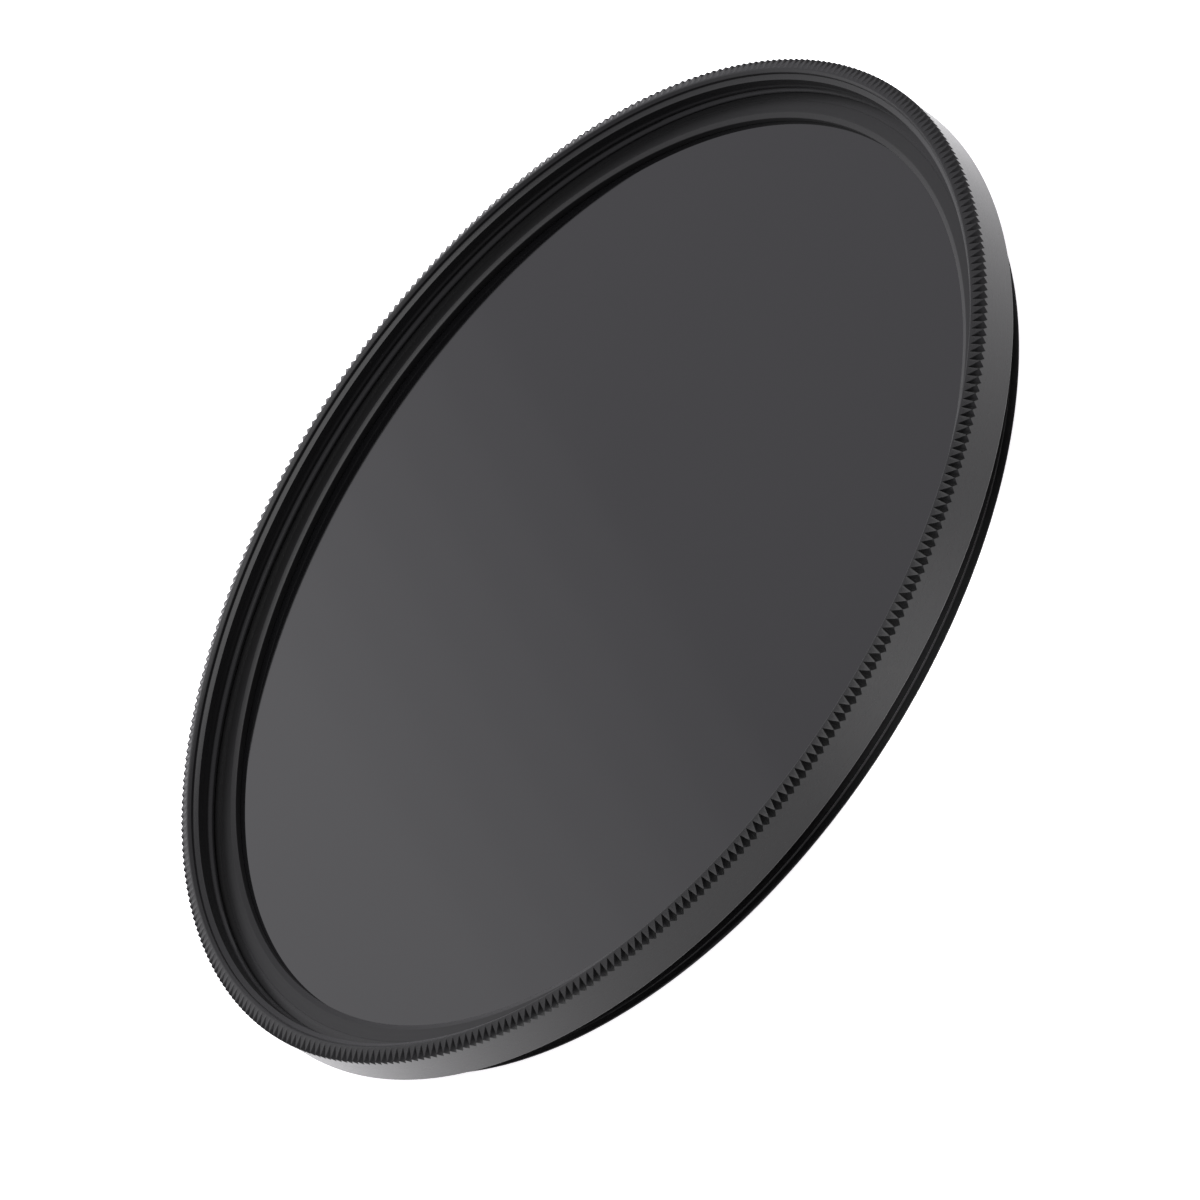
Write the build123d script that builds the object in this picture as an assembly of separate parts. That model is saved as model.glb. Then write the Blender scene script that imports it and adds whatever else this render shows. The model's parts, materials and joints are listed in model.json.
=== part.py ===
from build123d import *
import os

# Screw-in neutral density filter, in millimetres.
# +Z runs along the optical axis towards the front of the filter.
# The origin is the centre of the rear end, on which the filter lies.

# Standard filter thread, the same size at the front and at the rear
thread_diameter = 77.0
thread_pitch = 0.75
female_depth_ratio = 0.5413
male_depth_ratio = 0.6134

# Stack along the axis, from the rear end to the front
lip_height = 2.15
glass_thickness = 0.95
retainer_thickness = 0.6
front_recess = 2.1

# Outer wall and rear thread
rim_wall = 1.5
shoulder_height = 2.45
shoulder_chamfer = 0.12
relief_width = 0.4
relief_depth = 0.1
male_end_chamfer = 0.2

# Front rim: a raised land, and the face that slopes from it into the thread
land_height = 0.12
land_inner_offset = 0.42
rim_drop = 0.23

# Knurl: V grooves across the front corner of a proud edge, from the land to the band below
knurl_count = 376
knurl_rise = 0.1
knurl_width = 0.75
knurl_height = 0.65
knurl_tip_drop = 0.33

# Glass, its seat and the retaining ring
seat_wall = 0.85
seat_lip = 0.7
glass_clearance = 0.1
glass_bevel = 0.2
retainer_step = 0.45
retainer_clearance = 0.05
retainer_grip = 0.3
retainer_bevel_width = 0.4
retainer_bevel_depth = 0.12
aperture_chamfer = 0.3

# Radii that follow from the thread
thread_radius = thread_diameter / 2
female_radius = thread_radius - female_depth_ratio * thread_pitch
male_root_radius = thread_radius - male_depth_ratio * thread_pitch
relief_radius = male_root_radius - relief_depth
body_radius = thread_radius + rim_wall
tip_radius = body_radius + knurl_rise
groove_radius = tip_radius - knurl_width
land_inner_radius = thread_radius + land_inner_offset
retainer_bore_radius = female_radius - retainer_step
retainer_radius = retainer_bore_radius - retainer_clearance
seat_radius = relief_radius - seat_wall
glass_radius = seat_radius - glass_clearance
aperture_radius = glass_radius - seat_lip

# Heights that follow from the stack
glass_front = lip_height + glass_thickness
retainer_front = glass_front + retainer_thickness
front_height = retainer_front + front_recess
slope_height = front_height - land_height
thread_start = slope_height - rim_drop
tip_height = front_height - knurl_tip_drop
band_top = front_height - knurl_height
stock_radius = tip_radius + knurl_rise
stock_height = front_height + knurl_height


def turned(*points):
    """Solid of revolution about Z from a closed outline of (radius, height) points."""
    outline = make_face(Polyline(*points, close=True))
    return revolve(Plane.XZ * outline, axis=Axis.Z)


def ring_blank():
    """The ring as it leaves the lathe, before its knurl."""
    return turned(
        # Rear end and clear aperture, up to the seat of the glass
        (aperture_radius + aperture_chamfer, 0),
        (aperture_radius, aperture_chamfer),
        (aperture_radius, lip_height),
        (seat_radius, lip_height),
        # Bore of the retaining ring, and the ledge flush with its front
        (seat_radius, glass_front - retainer_grip),
        (retainer_bore_radius, glass_front - retainer_grip),
        (retainer_bore_radius, retainer_front),
        (female_radius, retainer_front),
        # Front thread, its lead-in, the sloping rim and the raised land
        (female_radius, thread_start - (thread_radius - female_radius)),
        (thread_radius, thread_start),
        (land_inner_radius, slope_height),
        (land_inner_radius, stock_height),
        # Outer wall: stock for the knurl, then the smooth band
        (stock_radius, stock_height),
        (stock_radius, band_top),
        (body_radius, band_top),
        (body_radius, shoulder_height + shoulder_chamfer),
        (body_radius - shoulder_chamfer, shoulder_height),
        # Relief groove and rear thread
        (relief_radius, shoulder_height),
        (relief_radius, shoulder_height - relief_width),
        (thread_radius, shoulder_height - relief_width),
        (thread_radius, male_end_chamfer),
        (thread_radius - male_end_chamfer, 0),
    )


def knurl_form():
    """Many-sided solid with a tooth at each corner and a V groove across each side's front edge.

    The pattern repeats one groove, centred on the X axis, with the front of the tooth after it and the
    wall below it. A groove starts as a point on the front and ends as a point above the band.
    """

    def corner(radius, teeth, height):
        """Point at a radius and a height, a number of teeth round from the X axis."""
        return Vector(radius, 0, height).rotate(Axis.Z, 360 / knurl_count * teeth)

    def polygon(*corners):
        """Flat face through its corners."""
        return make_face(Polyline(*corners, close=True))

    def end_face(radius, offset, height):
        """Flat face with a corner for each tooth."""
        return polygon(*[corner(radius, tooth + offset, height) for tooth in range(knurl_count)])

    start = corner(groove_radius, 0, front_height)
    next_start = corner(groove_radius, 1, front_height)
    tip = corner(tip_radius, 0.5, tip_height)
    last_tip = corner(tip_radius, -0.5, tip_height)
    rear = corner(tip_radius, 0.5, -stock_height)
    last_rear = corner(tip_radius, -0.5, -stock_height)
    foot = Vector(tip.X, 0, band_top)

    flank = polygon(start, tip, foot)
    tooth_front = polygon(start, next_start, tip)
    wall = polygon(last_tip, foot, tip, rear, last_rear)
    groove = [flank, mirror(flank, Plane.XZ), tooth_front, wall]
    faces = [place * face for place in PolarLocations(0, knurl_count) for face in groove]
    faces.append(end_face(groove_radius, 0, front_height))
    faces.append(end_face(tip_radius, 0.5, -stock_height))
    return Solid(Shell(faces))


def filter_ring():
    """One-piece turned and knurled ring."""
    return ring_blank() & knurl_form()


def nd_glass():
    """Flat disc of dark glass with ground bevels on both edges."""
    return turned(
        (0, lip_height),
        (glass_radius - glass_bevel, lip_height),
        (glass_radius, lip_height + glass_bevel),
        (glass_radius, glass_front - glass_bevel),
        (glass_radius - glass_bevel, glass_front),
        (0, glass_front),
    )


def retaining_ring():
    """Flat ring that holds the glass on its seat, bevelled towards the aperture."""
    return turned(
        (aperture_radius, glass_front),
        (retainer_radius, glass_front),
        (retainer_radius, retainer_front),
        (aperture_radius + retainer_bevel_width, retainer_front),
        (aperture_radius, retainer_front - retainer_bevel_depth),
    )


parts = {
    "filter_ring": filter_ring(),
    "nd_glass": nd_glass(),
    "retaining_ring": retaining_ring(),
}
os.makedirs("parts", exist_ok=True)
for name, solid in parts.items():
    export_step(solid, f"parts/{name}.step")
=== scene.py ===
import json
from math import ceil, cos, pi, radians, sin, tau

import bmesh
import bpy
import numpy as np
from mathutils import Matrix, Vector


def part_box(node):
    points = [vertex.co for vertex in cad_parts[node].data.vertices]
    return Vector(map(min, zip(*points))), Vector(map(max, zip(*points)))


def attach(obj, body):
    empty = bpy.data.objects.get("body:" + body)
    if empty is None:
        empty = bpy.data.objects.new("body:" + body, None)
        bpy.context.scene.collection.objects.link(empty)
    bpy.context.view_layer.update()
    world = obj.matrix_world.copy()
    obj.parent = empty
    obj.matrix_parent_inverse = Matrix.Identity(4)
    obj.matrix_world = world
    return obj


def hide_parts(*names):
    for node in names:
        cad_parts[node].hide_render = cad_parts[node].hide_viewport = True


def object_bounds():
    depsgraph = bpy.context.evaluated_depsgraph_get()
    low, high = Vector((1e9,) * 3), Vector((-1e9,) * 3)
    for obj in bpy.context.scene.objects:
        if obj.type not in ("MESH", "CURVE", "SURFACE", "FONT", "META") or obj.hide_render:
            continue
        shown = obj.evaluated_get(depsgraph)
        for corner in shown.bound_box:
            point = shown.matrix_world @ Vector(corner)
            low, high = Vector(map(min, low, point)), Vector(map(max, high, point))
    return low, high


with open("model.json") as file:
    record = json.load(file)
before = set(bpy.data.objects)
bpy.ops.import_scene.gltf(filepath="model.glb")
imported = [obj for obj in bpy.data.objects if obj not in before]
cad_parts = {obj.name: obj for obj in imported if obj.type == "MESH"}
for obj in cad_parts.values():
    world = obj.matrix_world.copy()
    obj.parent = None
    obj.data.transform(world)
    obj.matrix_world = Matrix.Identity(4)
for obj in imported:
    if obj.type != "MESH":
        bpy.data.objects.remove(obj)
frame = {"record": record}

# Screw-in neutral density filter, lying on its rear thread, seen at the angle of the photograph.
# The part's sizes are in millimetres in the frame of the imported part, and its meshes are scaled to metres.
# The sizes of the studio are in metres.
MM = 0.001
cad_low, cad_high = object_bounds()


def node_size(name):
    """Outer radius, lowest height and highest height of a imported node, in millimetres."""
    low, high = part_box(name)
    return high.x / MM, low.z / MM, high.z / MM


mounts = {mount["name"]: mount["dims"] for mount in frame["record"]["mounts"]}
tip_radius, rear_height, front_height = node_size("filter_ring")
glass_radius, glass_rear, glass_front = node_size("nd_glass")
retainer_radius, retainer_rear, retainer_front = node_size("retaining_ring")
minor_radius = mounts["front_thread"]["r_mm"]
major_radius = mounts["rear_thread"]["r_mm"]

# Threads: standard 60 degree form, right-handed, with the flats at both diameters as shares of the pitch
thread_pitch = 0.75
minor_flat = 1 / 4
major_flat = 1 / 8
crest_rounding = 0.2
crest_drop = 0.08

# Front thread: a low crest, as a share of the full one, that grows in a little below the rim
female_undercut = 0.05
female_phase = 0.62
female_entry = 0.7
female_run_in = 0.45
female_crest = 0.48

# Rear thread
male_depth = 0.46
rear_chamfer = 0.2

# Front rim: the land with a bevelled inner edge and a step, and the face that slopes from it into the thread
land_offset = 0.37
land_bevel = 0.18
step_depth = 0.4
slope_drop = 0.16
land_inner_radius = major_radius + land_offset
slope_top = front_height - step_depth
thread_top = slope_top - slope_drop

# Band, shoulder and the relief groove of the rear thread
rim_wall = 1.5
shoulder_height = 2.45
shoulder_chamfer = 0.07
relief_width = 0.4
relief_depth = 0.1
band_radius = major_radius + rim_wall
relief_radius = major_radius - male_depth - relief_depth

# Knurl: V grooves across the front corner, from the land to the band
knurl_count = 376
knurl_width = 0.9
knurl_height = 0.65
knurl_tip_drop = 0.29
groove_belly = 0.1
groove_radius = tip_radius - knurl_width
tip_height = front_height - knurl_tip_drop
band_top = front_height - knurl_height

# Half a tooth, from the groove's middle to the crest, as shares of the half pitch and of the tooth's height
tooth_form = [(0, 0.02), (0.12, 0.1), (0.62, 0.62), (0.8, 0.8), (0.92, 0.91), (1, 0.96)]

# Glass, its seat, and the retaining ring with its bore
glass_bevel = 0.2
seat_clearance = 0.1
seat_lip = 0.7
aperture_chamfer = 0.3
retainer_clearance = 0.05
retainer_bevel_width = 0.4
retainer_bevel_depth = 0.12
bore_depth = 0.9
seat_radius = glass_radius + seat_clearance
aperture_radius = glass_radius - seat_lip
bore_radius = retainer_radius + retainer_clearance

# Broken edges, and the fine joint in front between the retaining ring and its bore
edge_break = 0.04
joint_gap = 0.008
joint_depth = 3 * edge_break

# How finely the meshes are drawn, with one column of points for each tooth of the knurl
edge_steps = 3
flank_steps = 4
thread_rows = 8
sharp_angle = radians(40)
merge_digits = 6
columns = tau / knurl_count * np.arange(knurl_count)


# Meshes of revolution

class Lathe:
    """Rows of points round the axis and the faces that join them."""

    def __init__(self):
        self.points = []
        self.total = 0
        self.faces = []

    def row(self, angles, radius, height):
        """Adds a row of points and returns their numbers."""
        points = np.empty((len(angles), 3))
        points[:, 0] = radius * np.cos(angles)
        points[:, 1] = radius * np.sin(angles)
        points[:, 2] = height
        self.points.append(points)
        self.total += len(points)
        return np.arange(self.total - len(points), self.total)

    def outline(self, corners):
        """Rows along an outline of (radius, height) points, with broken edges. Returns both end rows."""
        rows = [self.row(columns, radius, height) for radius, height in broken(corners)]
        self.join_all(rows)
        return rows[0], rows[-1]

    def join(self, one, other):
        """Four-sided faces between two rows of the same length."""
        self.faces += zip(one, np.roll(one, -1), np.roll(other, -1), other)

    def join_all(self, rows):
        """Faces between each row and the next."""
        for one, other in zip(rows, rows[1:]):
            self.join(one, other)

    def gather(self, coarse, fine):
        """Faces between a row and one with several times its points."""
        share = len(fine) // len(coarse)
        closed = np.append(fine, fine[0])
        for number, (start, stop) in enumerate(zip(coarse, np.roll(coarse, -1))):
            edge = closed[number * share:(number + 1) * share + 1]
            self.faces.append((start, *edge, stop))

    def helix(self, bottom, top, radius_at):
        """Rows that follow a right-handed thread, cut off at a lowest and a highest height."""
        turn = columns / tau
        last = ceil((top - bottom) / thread_pitch + 1) * thread_rows
        rows = []
        for number in range(last + 1):
            height = bottom + thread_pitch * (number / thread_rows - 1 + turn)
            height = np.clip(height, bottom, top)
            rows.append(self.row(columns, radius_at(height, height / thread_pitch - turn), height))
        for number, (one, other) in enumerate(zip(rows, rows[1:])):
            self.faces += zip(one[:-1], one[1:], other[1:], other[:-1])
            # After a full turn the row meets the one a pitch further on
            next_one = rows[min(number + thread_rows, last)]
            next_other = rows[min(number + thread_rows + 1, last)]
            self.faces.append((one[-1], next_one[0], next_other[0], other[-1]))
        return rows[0], rows[-1]

    def piece(self, name):
        """The finished mesh object, with points that coincide merged."""
        points = np.concatenate(self.points).round(merge_digits)
        places, merged = np.unique(points, axis=0, return_inverse=True)
        merged = merged.ravel()
        faces = []
        for face in self.faces:
            corners = list(dict.fromkeys(merged[list(face)].tolist()))
            if len(corners) > 2:
                faces.append(corners)
        mesh = bpy.data.meshes.new(name)
        mesh.from_pydata((places * MM).tolist(), [], faces)
        work = bmesh.new()
        work.from_mesh(mesh)
        bmesh.ops.recalc_face_normals(work, faces=work.faces)
        work.to_mesh(mesh)
        work.free()
        mesh.shade_smooth()
        mesh.set_sharp_from_angle(angle=sharp_angle)
        made = bpy.data.objects.new(name, mesh)
        bpy.context.scene.collection.objects.link(made)
        weighted = made.modifiers.new("weighted_normals", "WEIGHTED_NORMAL")
        weighted.keep_sharp = True
        return made


def broken(corners):
    """The outline with each inner corner rounded by the edge break, or by a third of a short side."""
    points = [np.array(corner, float) for corner in corners]
    made = [points[0]]
    for before, corner, after in zip(points, points[1:], points[2:]):
        sides = [before - corner, after - corner]
        reach = min(edge_break, *[np.linalg.norm(side) / 3 for side in sides])
        start, stop = [corner + side * (reach / np.linalg.norm(side)) for side in sides]
        for step in np.linspace(0, 1, edge_steps + 1):
            made.append((1 - step) ** 2 * start + 2 * step * (1 - step) * corner + step ** 2 * stop)
    return made + [points[-1]]


# The ring

def thread_depth(phase, crest, root):
    """Depth of a thread, from 0 on its crest to 1 in its root, for a height counted in pitches.

    The flat crest and the flat root are given as shares of the pitch, and the crest's edges are rounded.
    """
    away = np.abs(phase - np.floor(phase) - 0.5)
    flat_end = (1 - crest_rounding) * crest / 2
    flank_start = (1 + crest_rounding) * crest / 2
    flank_end = 0.5 - root / 2
    return np.interp(away, [flat_end, flank_start, flank_end], [0, crest_drop, 1])


def female_thread(height, phase):
    """Radius of the front thread, whose crest grows from nothing a little below the rim."""
    grown = np.clip((thread_top - female_entry - height) / female_run_in, 0, 1)
    crest = (major_radius - minor_radius) * female_crest * grown
    return major_radius - crest * (1 - thread_depth(phase + female_phase, minor_flat, major_flat))


def male_thread(height, phase):
    """Radius of the rear thread, narrowed by its end chamfer."""
    cut = major_radius - male_depth * thread_depth(phase, major_flat, minor_flat)
    return np.minimum(cut, major_radius - rear_chamfer + (height - rear_height))


def knurl_rows(lathe):
    """Rows of the knurl from the front land, over the corner and down to the band. Returns both end rows."""
    half = np.array(tooth_form)
    across = np.concatenate([half[:, 0], 2 - half[-2:0:-1, 0]])
    rise = np.concatenate([half[:, 1], half[-2:0:-1, 1]])
    angles = (np.arange(knurl_count)[:, None] + across / 2).ravel() * tau / knurl_count
    share = np.tile(rise, knurl_count)

    front_radius = groove_radius + knurl_width * share
    front_edge = front_height + (tip_height - front_height) * share
    wall_edge = band_top + (tip_height - band_top) * share
    rows = [lathe.row(angles, groove_radius - edge_break, front_height)]
    for step in np.linspace(0, 1, flank_steps + 1):
        # The groove is hollowed most half way along it
        belly = groove_belly * (1 - share) * 4 * step * (1 - step)
        radius = front_radius + (tip_radius - front_radius) * step - belly
        rows.append(lathe.row(angles, radius, front_edge + (wall_edge - front_edge) * step - belly))
    rows.append(lathe.row(angles, tip_radius, band_top))
    rows.append(lathe.row(angles, band_radius, band_top))
    lathe.join_all(rows)
    return rows[0], rows[-1]


def filter_ring():
    """The turned ring with its knurl and both threads."""
    lathe = Lathe()
    knurl_front, knurl_rear = knurl_rows(lathe)
    band_start, relief_end = lathe.outline([
        (band_radius, band_top - edge_break),
        (band_radius, shoulder_height + shoulder_chamfer),
        (band_radius - shoulder_chamfer, shoulder_height),
        (relief_radius, shoulder_height),
        (relief_radius, shoulder_height - relief_width),
    ])
    male_start, male_end = lathe.helix(rear_height, shoulder_height - relief_width, male_thread)
    rear_start, undercut_end = lathe.outline([
        # Rear end and clear aperture, up to the seat of the glass
        (major_radius - rear_chamfer - 3 * edge_break, rear_height),
        (aperture_radius + aperture_chamfer, rear_height),
        (aperture_radius, rear_height + aperture_chamfer),
        (aperture_radius, glass_rear),
        (seat_radius, glass_rear),
        # Bore of the retaining ring, and the ledge flush with its front
        (seat_radius, retainer_front - bore_depth),
        (bore_radius, retainer_front - bore_depth),
        (bore_radius, retainer_front - joint_gap),
        (bore_radius, retainer_front),
        (bore_radius + joint_gap, retainer_front),
        (major_radius, retainer_front),
        (major_radius, retainer_front + female_undercut),
    ])
    female_start, female_end = lathe.helix(retainer_front + female_undercut, thread_top, female_thread)
    slope_start, land_end = lathe.outline([
        (major_radius, thread_top),
        (land_inner_radius, slope_top),
        (land_inner_radius, front_height - land_bevel),
        (land_inner_radius + land_bevel, front_height),
        (groove_radius - 2 * edge_break, front_height),
    ])
    lathe.gather(band_start, knurl_rear)
    lathe.join(relief_end, male_end)
    lathe.join(male_start, rear_start)
    lathe.join(undercut_end, female_start)
    lathe.join(female_end, slope_start)
    lathe.gather(land_end, knurl_front)
    return lathe.piece("knurled_ring")


# The retaining ring and the glass

def closed_outline(name, corners):
    """A piece turned from a closed outline, with the outline's first point in the middle of a side."""
    lathe = Lathe()
    first, last = lathe.outline(corners)
    lathe.join(last, first)
    return lathe.piece(name)


def retaining_ring():
    """Flat ring in front of the glass, bevelled towards the aperture and widest at its front."""
    middle = (aperture_radius + retainer_radius) / 2
    outer_radius = bore_radius - joint_gap
    return closed_outline("glass_retainer", [
        (middle, retainer_rear),
        (retainer_radius, retainer_rear),
        (outer_radius, retainer_front - joint_depth),
        (outer_radius, retainer_front - joint_gap),
        (outer_radius, retainer_front),
        (outer_radius - joint_gap, retainer_front),
        (aperture_radius + retainer_bevel_width, retainer_front),
        (aperture_radius, retainer_front - retainer_bevel_depth),
        (aperture_radius, retainer_rear),
        (middle - edge_break, retainer_rear),
    ])


def glass_disc():
    """Flat disc with ground bevels."""
    lathe = Lathe()
    lathe.outline([
        (0, glass_rear),
        (glass_radius - glass_bevel, glass_rear),
        (glass_radius, glass_rear + glass_bevel),
        (glass_radius, glass_front - glass_bevel),
        (glass_radius - glass_bevel, glass_front),
        (0, glass_front),
    ])
    return lathe.piece("dark_glass_disc")


# Materials

# Most of a noise texture's values lie between these two
noise_low = 0.3
noise_high = 0.7

# Black anodised aluminium: scales of its patterns per metre, and the depth of its grain in metres
anodised_ior = 1.34
anodised_cloud_scale = 90.0
anodised_cloud_detail = 3.0
turning_mark_scale = 9000.0
speck_scale = 14000.0
mark_share = 0.5
grain_depth = 0.00001
roughness_spread = 0.05
ring_finish = {
    "dark": (0.0038, 0.0038, 0.0040),
    "light": (0.0046, 0.0046, 0.0046),
    "roughness": 0.3,
    "grain": 0.12,
}
retainer_finish = {
    "dark": (0.0018, 0.0018, 0.0019),
    "light": (0.0026, 0.0026, 0.0026),
    "roughness": 0.36,
    "grain": 0.1,
}

# Dark glass
glass_ior = 1.48
glass_cloud_scale = 40.0
glass_dark = (0.0014, 0.0014, 0.0016)
glass_light = (0.0019, 0.0019, 0.0021)
glass_smoothest = 0.045
glass_roughest = 0.055


class Shading:
    """Short ways to add and link the nodes of a material."""

    def __init__(self, name):
        self.material = bpy.data.materials.new(name)
        self.material.use_nodes = True
        self.nodes = self.material.node_tree.nodes
        self.links = self.material.node_tree.links
        self.shader = self.nodes["Principled BSDF"]

    def add(self, kind, values=None, **settings):
        """Adds a node with its settings, and sets or links its inputs."""
        node = self.nodes.new("ShaderNode" + kind)
        for name, value in settings.items():
            setattr(node, name, value)
        for name, value in (values or {}).items():
            self.put(node, name, value)
        return node

    def put(self, node, name, value):
        """Sets an input, or links it where the value is another node's output."""
        if isinstance(value, bpy.types.NodeSocket):
            self.links.new(value, node.inputs[name])
        else:
            node.inputs[name].default_value = value

    def noise(self, vector, scale, detail=2.0):
        """A noise pattern."""
        node = self.add("TexNoise", {"Vector": vector, "Scale": scale, "Detail": detail})
        return node.outputs["Fac"]

    def spread(self, value, low, high):
        """A noise value stretched between two limits."""
        limits = {"Value": value, "From Min": noise_low, "From Max": noise_high, "To Min": low, "To Max": high}
        return self.add("MapRange", limits).outputs["Result"]

    def blend(self, factor, one, other):
        """A colour between two others."""
        tone = self.add("Mix", {"Factor": factor}, data_type="RGBA")
        self.put(tone, "A", (*one, 1.0))
        self.put(tone, "B", (*other, 1.0))
        return tone.outputs["Result"]

    def place(self):
        """Position on the piece, in the frame of the part."""
        return self.add("TexCoord").outputs["Object"]

    def turning(self):
        """Radius and height of a point, so that a texture runs round the axis like turning marks."""
        parts = self.add("SeparateXYZ", {"Vector": self.place()})
        flat = self.add("CombineXYZ", {"X": parts.outputs["X"], "Y": parts.outputs["Y"]})
        radius = self.add("VectorMath", {0: flat.outputs[0]}, operation="LENGTH")
        both = self.add("CombineXYZ", {"X": radius.outputs["Value"], "Y": parts.outputs["Z"]})
        return both.outputs[0]


def anodised(name, dark, light, roughness, grain):
    """Black anodised aluminium with fine turning marks and a slight grain."""
    made = Shading(name)
    clouds = made.noise(made.place(), anodised_cloud_scale, anodised_cloud_detail)
    marks = made.noise(made.turning(), turning_mark_scale)
    specks = made.noise(made.place(), speck_scale)
    tone = made.blend(made.spread(clouds, 0.0, 1.0), dark, light)
    both = made.add("Mix", {"Factor": mark_share, "A": marks, "B": specks}, data_type="FLOAT")
    height = both.outputs["Result"]
    bump = made.add("Bump", {"Height": height, "Strength": grain, "Distance": grain_depth})
    made.put(made.shader, "Base Color", tone)
    rough = made.spread(height, roughness - roughness_spread, roughness + roughness_spread)
    made.put(made.shader, "Roughness", rough)
    made.put(made.shader, "Normal", bump.outputs["Normal"])
    made.put(made.shader, "IOR", anodised_ior)
    return made.material


def dark_glass():
    """Polished grey glass, so dense that nothing shows through it."""
    made = Shading("dark_glass")
    clouds = made.noise(made.place(), glass_cloud_scale)
    tone = made.blend(made.spread(clouds, 0.0, 1.0), glass_dark, glass_light)
    made.put(made.shader, "Base Color", tone)
    made.put(made.shader, "Roughness", made.spread(clouds, glass_smoothest, glass_roughest))
    made.put(made.shader, "IOR", glass_ior)
    return made.material


# Studio

# Floor: pale paper with a light of its own, so that it stays white up to the filter
floor_half = 3.0
floor_gap = 0.02 * MM
floor_grain_scale = 600.0
floor_grain_detail = 3.0
floor_dark = (0.90, 0.90, 0.90)
floor_light = (0.93, 0.93, 0.93)
floor_roughness = 0.9
floor_specular = 0.1
floor_glow_colour = (1.0, 0.985, 1.0, 1.0)
floor_glow = 0.8

# White surround
surround_colour = (1.0, 0.98, 1.05, 1.0)
surround_strength = 0.78

# Soft light overhead
overhead_middle = Vector((0.35, -0.1, 1.2))
overhead_side = 1.4
overhead_radiance = 3.0

# Soft panels behind the filter, each a little further away and further to the side than the last
backdrop_count = 6
backdrop_lean = radians(24)
backdrop_width = 2.0
backdrop_length = 2.6
backdrop_radiance = 0.077
backdrop_distance = 1.5
backdrop_distance_step = 0.02
backdrop_shift = 0.988
backdrop_shift_step = 0.0165

# Narrow light on the floor in front of the nearest part of the band
accent_power = 45.0
accent_cone = radians(2.4)
accent_radius = 0.01
accent_place = Vector((0.02, -0.42, 0.11))
accent_target = Vector((0.0078, -0.050, 0.0))

# Camera: its angle and turn, and where the middle of the rim lies in its own axes
view_elevation = radians(32.62)
view_roll = radians(-56.72)
rim_height = 5.33 * MM
rim_middle = Vector((-2.059, 3.334, -642.7)) * MM
sensor_width = 36.0
focal_length = 272.3
nearest_sight = 0.01
furthest_sight = 100.0


def studio_floor():
    """Plain pale floor, just below the filter."""
    mesh = bpy.data.meshes.new("floor")
    level = cad_low.z - floor_gap
    signs = [(-1, -1), (1, -1), (1, 1), (-1, 1)]
    mesh.from_pydata([(x * floor_half, y * floor_half, level) for x, y in signs], [], [(0, 1, 2, 3)])
    floor = bpy.data.objects.new("floor", mesh)
    bpy.context.scene.collection.objects.link(floor)
    made = Shading("floor_paper")
    grain = made.noise(made.place(), floor_grain_scale, floor_grain_detail)
    made.put(made.shader, "Base Color", made.blend(grain, floor_dark, floor_light))
    made.put(made.shader, "Roughness", floor_roughness)
    made.put(made.shader, "Specular IOR Level", floor_specular)
    made.put(made.shader, "Emission Color", floor_glow_colour)
    made.put(made.shader, "Emission Strength", floor_glow)
    mesh.materials.append(made.material)


def white_surround():
    """Evenly lit white surround."""
    world = bpy.data.worlds.new("surround")
    world.use_nodes = True
    background = world.node_tree.nodes["Background"]
    background.inputs["Color"].default_value = surround_colour
    background.inputs["Strength"].default_value = surround_strength
    bpy.context.scene.world = world


def soft_panel(name, middle, across, along, width, length, radiance):
    """Rectangular light that faces the side given by the cross product of its two edges, reversed."""
    lamp = bpy.data.lights.new(name, "AREA")
    lamp.shape = "RECTANGLE"
    lamp.size = width
    lamp.size_y = length
    lamp.energy = radiance * pi * width * length
    light = bpy.data.objects.new(name, lamp)
    turn = Matrix((across, along, across.cross(along))).transposed()
    light.matrix_world = Matrix.Translation(middle) @ turn.to_4x4()
    bpy.context.scene.collection.objects.link(light)


def overhead_panel():
    """Soft light overhead."""
    across = Vector((1, 0, 0))
    along = Vector((0, 1, 0))
    soft_panel("overhead", overhead_middle, across, along, overhead_side, overhead_side, overhead_radiance)


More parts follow.
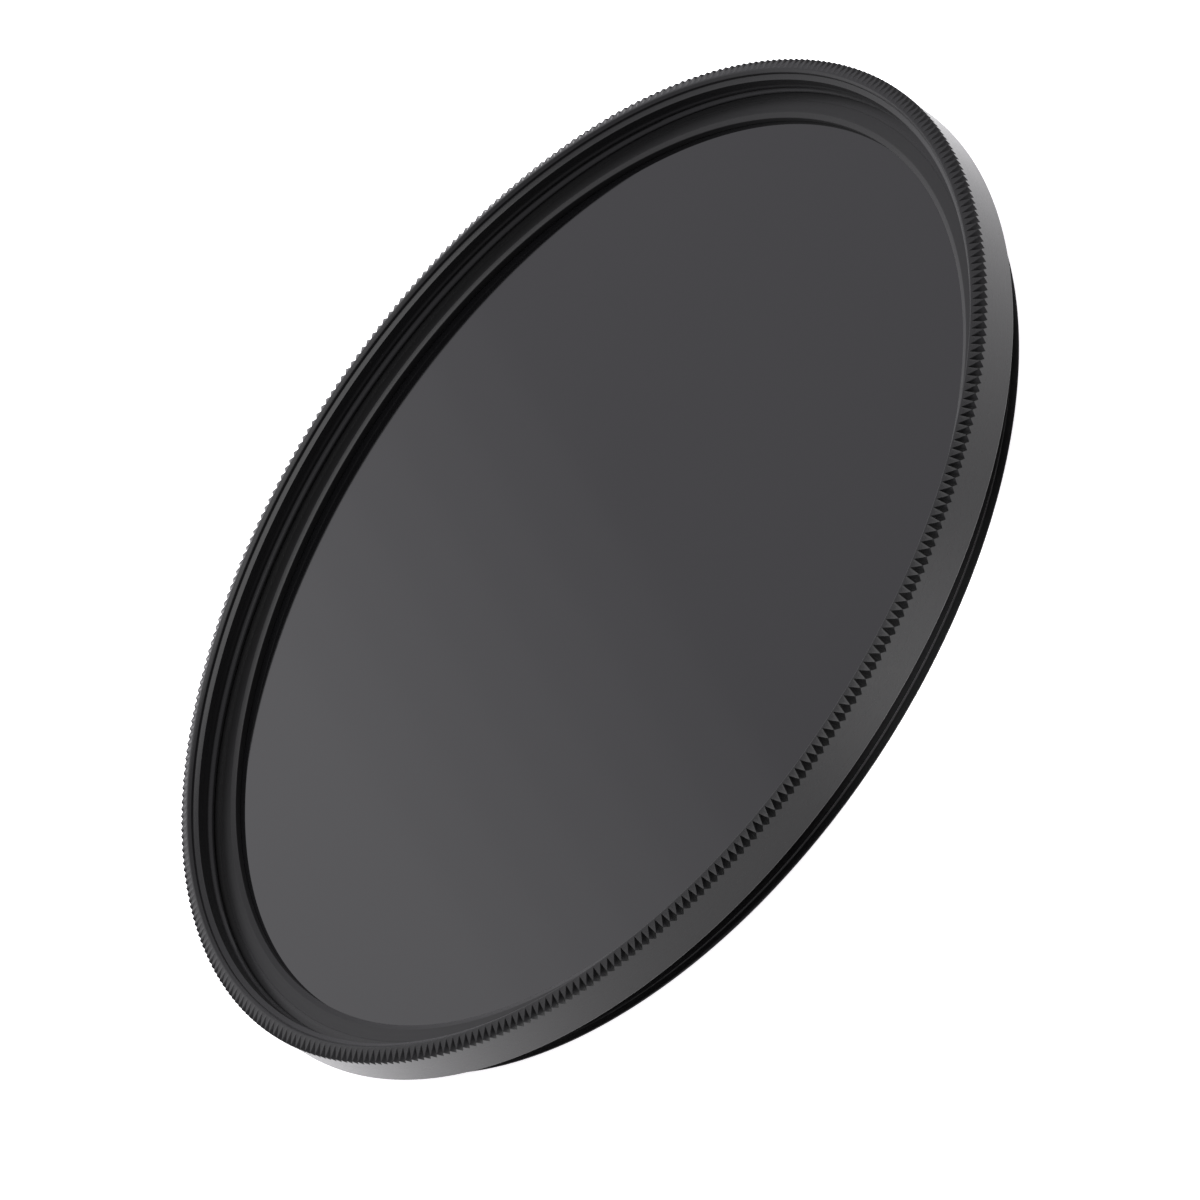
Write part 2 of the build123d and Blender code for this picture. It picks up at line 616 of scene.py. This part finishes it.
def backdrop_panels():
    """Soft panels that the camera sees mirrored in the glass, with edges that step into a soft edge there."""
    mirrored = Vector((0, cos(view_elevation), sin(view_elevation)))
    upright = Vector((0, -sin(view_elevation), cos(view_elevation)))
    across = -Vector((cos(backdrop_lean), 0, 0)) - upright * sin(backdrop_lean)
    along = upright * cos(backdrop_lean) - Vector((sin(backdrop_lean), 0, 0))
    for step in range(backdrop_count):
        distance = backdrop_distance + backdrop_distance_step * step
        shift = backdrop_shift + backdrop_shift_step * step
        middle = mirrored * distance + across * shift
        name = f"backdrop_{step + 1}"
        soft_panel(name, middle, across, along, backdrop_width, backdrop_length, backdrop_radiance)


def accent_light():
    """Narrow light with a soft edge, low in front."""
    lamp = bpy.data.lights.new("accent", "SPOT")
    lamp.energy = accent_power
    lamp.spot_size = accent_cone
    lamp.spot_blend = 1.0
    lamp.shadow_soft_size = accent_radius
    light = bpy.data.objects.new("accent", lamp)
    light.location = accent_place
    aim = accent_target - light.location
    light.rotation_euler = aim.to_track_quat("-Z", "Y").to_euler()
    bpy.context.scene.collection.objects.link(light)


def studio_camera():
    """Camera at the photograph's angle, with colours shown as they are."""
    level = Vector((1, 0, 0))
    upward = Vector((0, sin(view_elevation), cos(view_elevation)))
    right = level * cos(view_roll) + upward * sin(view_roll)
    up = upward * cos(view_roll) - level * sin(view_roll)
    back = right.cross(up)
    turn = Matrix((right, up, back)).transposed()
    data = bpy.data.cameras.new("camera")
    data.sensor_width = sensor_width
    data.lens = focal_length
    data.clip_start = nearest_sight
    data.clip_end = furthest_sight
    camera = bpy.data.objects.new("camera", data)
    place = Vector((0, 0, rim_height)) - turn @ rim_middle
    camera.matrix_world = Matrix.Translation(place) @ turn.to_4x4()
    bpy.context.scene.collection.objects.link(camera)
    bpy.context.scene.camera = camera
    bpy.context.scene.view_settings.view_transform = "Standard"


# The part

ring = filter_ring()
glass = glass_disc()
retainer = retaining_ring()
ring.data.materials.append(anodised("black_anodised", **ring_finish))
glass.data.materials.append(dark_glass())
retainer.data.materials.append(anodised("black_anodised_flat", **retainer_finish))
for piece, node, slot in [
    (ring, "filter_ring", "black_anodised"),
    (glass, "nd_glass", "dark_glass"),
    (retainer, "retaining_ring", "black_anodised_flat"),
]:
    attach(piece, "root")
    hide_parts(node)

studio_floor()
white_surround()
overhead_panel()
backdrop_panels()
accent_light()
studio_camera()
